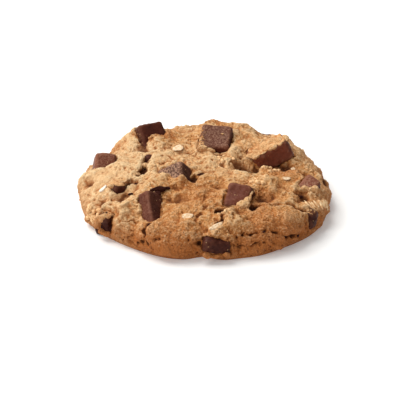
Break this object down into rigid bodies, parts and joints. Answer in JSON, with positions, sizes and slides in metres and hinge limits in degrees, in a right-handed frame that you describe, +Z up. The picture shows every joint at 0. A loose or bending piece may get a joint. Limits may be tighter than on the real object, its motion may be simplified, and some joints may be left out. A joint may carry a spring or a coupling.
{
  "type": "chocolate chunk cookie",
  "caption": "Round domed oat cookie with a cracked, pebbly crust, rolled oat flakes on it and blocks of dark chocolate half sunk into the dough.",
  "frame": {"origin": "on the flat base, under the middle of the cookie's box", "axes": "+Z up from the base, front of the pictured view towards -Y, +X to the viewer's right"},
  "size_m": [0.0942, 0.093, 0.0212],
  "materials": {
    "dough": "baked oat dough, rough and pebbly, browner at the rim and base",
    "chocolate": "dark chocolate, satin, with pale bloom and crumbs on the upper faces"
  },
  "bodies": {
    "root": {"dough": "dough", "chunk_back_left": "chocolate", "chunk_left_rim": "chocolate", "chunk_back": "chocolate", "chunk_back_right": "chocolate", "chunk_centre": "chocolate", "chunk_front_left": "chocolate", "chunk_centre_right": "chocolate", "chunk_right": "chocolate", "chunk_front_rim": "chocolate", "chunk_right_rim": "chocolate", "chunk_left_small": "chocolate", "chunk_left_wall": "chocolate", "chunk_crack": "chocolate", "chunk_rear_left": "chocolate", "chunk_rear_right": "chocolate"}
  },
  "joints": []
}
